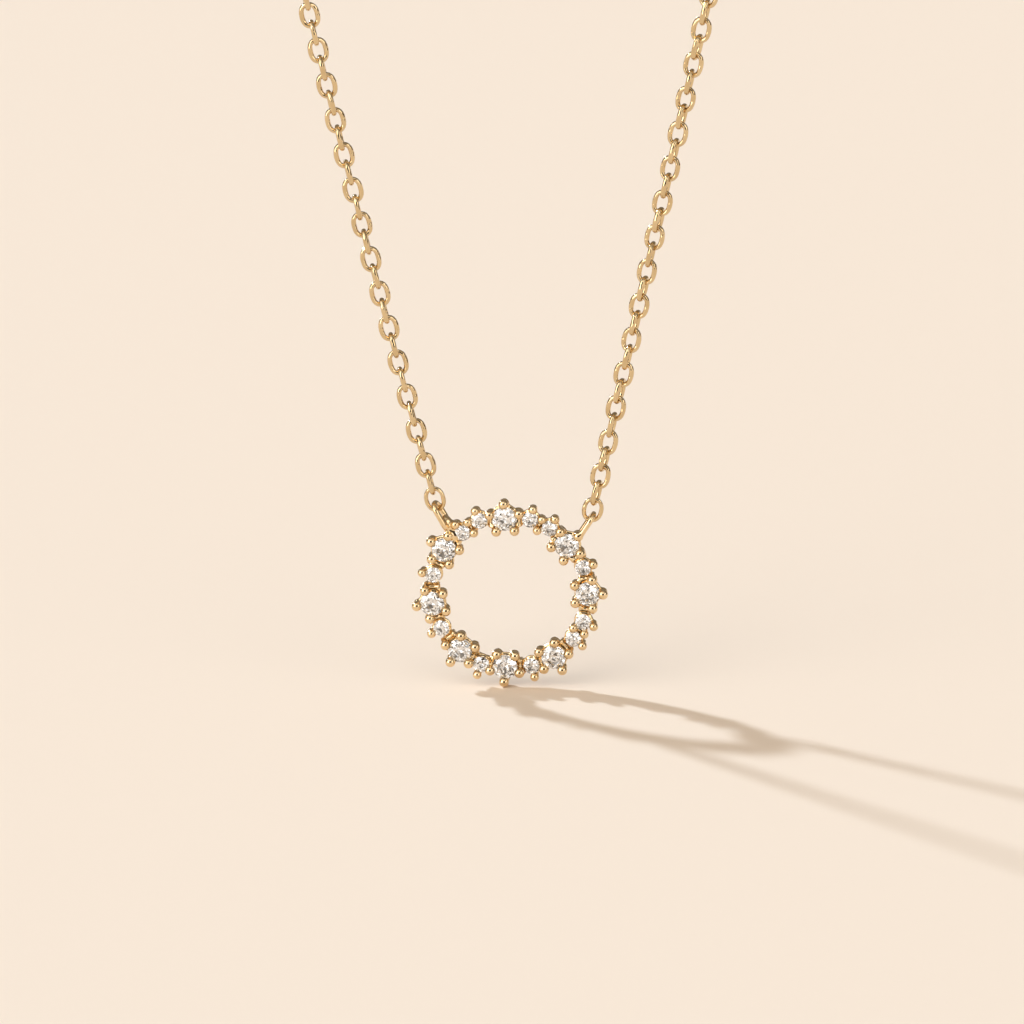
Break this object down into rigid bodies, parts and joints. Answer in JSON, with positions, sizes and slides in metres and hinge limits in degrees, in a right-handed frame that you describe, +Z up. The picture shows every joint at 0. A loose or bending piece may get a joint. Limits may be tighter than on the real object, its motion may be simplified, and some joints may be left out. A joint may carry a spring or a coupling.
{
  "type": "open circle pendant necklace",
  "caption": "Necklace with an open circle pendant of claw-set round stones in two sizes, hung by two soldered loops on a fine oval-link chain with a spring-ring clasp.",
  "frame": {"origin": "the place on the neck where the necklace hangs: the neck's back, under the middle of the chain's top and the clasp", "axes": "+Z up, away from the pendant. The pendant's front faces -Y, and +X is to the right seen from the front. The chain's loop lies in the XZ plane."},
  "size_m": [0.0736, 0.005, 0.2098],
  "materials": {
    "gold": "polished warm yellow gold plating over silver",
    "stone": "clear colourless faceted round brilliants"
  },
  "bodies": {
    "chain": {"chain_left": "gold", "chain_right": "gold", "end_link_left": "gold", "end_link_right": "gold", "clasp": "gold", "clasp_link": "gold", "clasp_ring": "gold"},
    "pendant": {"circle_setting": "gold", "large_stone_1": "stone", "large_stone_2": "stone", "large_stone_3": "stone", "large_stone_4": "stone", "large_stone_5": "stone", "large_stone_6": "stone", "large_stone_7": "stone", "large_stone_8": "stone", "small_stone_1": "stone", "small_stone_2": "stone", "small_stone_3": "stone", "small_stone_4": "stone", "small_stone_5": "stone", "small_stone_6": "stone", "small_stone_7": "stone", "small_stone_8": "stone", "small_stone_9": "stone", "small_stone_10": "stone", "small_stone_11": "stone"}
  },
  "joints": [
    {"name": "pendant_swing", "type": "hinge", "parent": "chain", "child": "pendant", "pos_m": [0, 0, -0.19465], "axis": [0.9984, 0, -0.0567], "range_deg": [-90, 90]}
  ]
}
